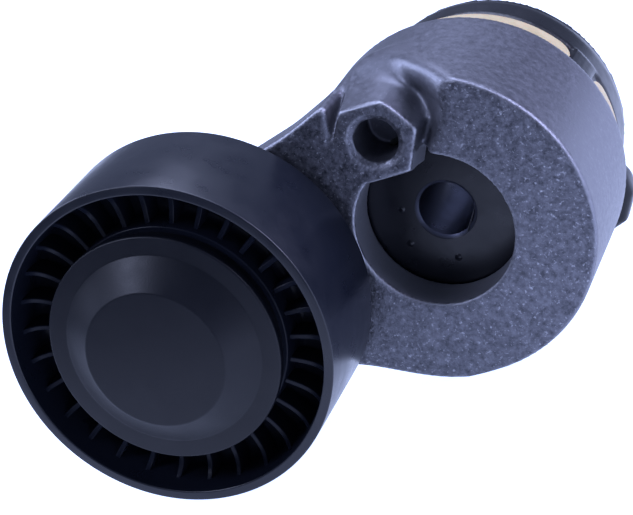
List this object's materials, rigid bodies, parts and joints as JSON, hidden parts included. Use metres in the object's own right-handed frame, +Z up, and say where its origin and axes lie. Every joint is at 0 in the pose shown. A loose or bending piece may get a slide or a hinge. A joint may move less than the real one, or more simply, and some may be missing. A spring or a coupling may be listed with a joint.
{
  "type": "belt tensioner idler",
  "caption": "Sprung swing-arm belt tensioner: a smooth capped pulley on a cast aluminium arm whose drum turns on a round black base.",
  "frame": {"origin": "on the pivot axis, at the base's mounting face", "axes": "-Y forwards along the pivot axis, out of the mounting bolt's hole; +Z up; +X from the pulley towards the pivot"},
  "size_m": [0.1096, 0.0999, 0.065],
  "materials": {
    "black_plastic": "moulded, satin",
    "cap_plastic": "moulded, fine spark grain",
    "cast_aluminium": "die-cast, blasted",
    "black_coated_metal": "black electrocoat, satin",
    "cream_nylon": "moulded nylon, satin",
    "bearing_steel": "ground",
    "pressed_steel": "pressed",
    "spring_steel": "oiled black",
    "seal_rubber": "moulded",
    "zinc_steel": "zinc plated",
    "bush_polymer": "moulded, dry"
  },
  "bodies": {
    "base": {"base_cup": "black_coated_metal", "pivot_post": "black_coated_metal", "friction_ring": "cream_nylon", "locating_pin": "zinc_steel", "torsion_spring": "spring_steel", "spring_seat_rear": "bush_polymer"},
    "arm": {"arm_casting": "cast_aluminium", "pivot_bush": "bush_polymer", "spring_seat_front": "bush_polymer", "pulley_bolt": "zinc_steel", "clamp_washer": "zinc_steel", "rear_dust_shield": "pressed_steel", "bearing_inner_ring": "bearing_steel"},
    "pulley": {"pulley_wheel": "black_plastic", "dust_cap": "cap_plastic", "bearing_outer_ring": "bearing_steel", "bearing_seal_front": "seal_rubber", "bearing_seal_rear": "seal_rubber"},
    "cage": {"bearing_balls": "bearing_steel", "cage_front": "pressed_steel", "cage_rear": "pressed_steel", "cage_rivets": "pressed_steel"}
  },
  "joints": [
    {"name": "arm_swing", "type": "hinge", "parent": "base", "child": "arm", "pos_m": [0, -0.03, 0], "axis": [0, 1, 0], "range_deg": [0, 60], "stiffness_Nm_per_rad": 17, "springref_deg": -34.38, "deforming": ["torsion_spring"]},
    {"name": "pulley_spin", "type": "hinge", "parent": "arm", "child": "pulley", "pos_m": [-0.04627, -0.0757, 0.00166], "axis": [0, 1, 0], "continuous": true},
    {"name": "cage_spin", "type": "hinge", "parent": "arm", "child": "cage", "pos_m": [-0.04627, -0.0757, 0.00166], "axis": [0, 1, 0], "continuous": true}
  ],
  "couplings": [
    {"joint": "cage_spin", "follows": "pulley_spin", "ratio": 0.6182}
  ]
}
